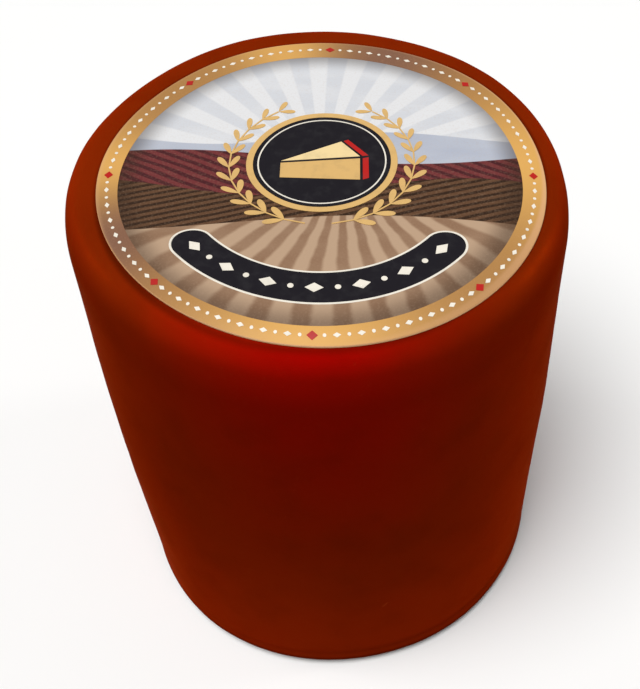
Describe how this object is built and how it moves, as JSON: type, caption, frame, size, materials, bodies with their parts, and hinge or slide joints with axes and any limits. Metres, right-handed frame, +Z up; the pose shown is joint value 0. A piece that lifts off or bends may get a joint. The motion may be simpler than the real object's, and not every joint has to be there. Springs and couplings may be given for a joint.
{
  "type": "waxed cheddar truckle",
  "caption": "Whole upright drum of cheddar in a red-brown wax coat, with a round printed paper label laid on its top.",
  "frame": {"origin": "middle of the flat base, on the surface that the cheese stands on", "axes": "+Z up through the cheese, towards the label; -Y is the front as the picture shows it"},
  "size_m": [0.1316, 0.1304, 0.1524],
  "materials": {
    "wax": "satin",
    "printed_paper": "satin"
  },
  "bodies": {
    "root": {"waxed_cheese": "wax", "label": "printed_paper"}
  },
  "joints": []
}
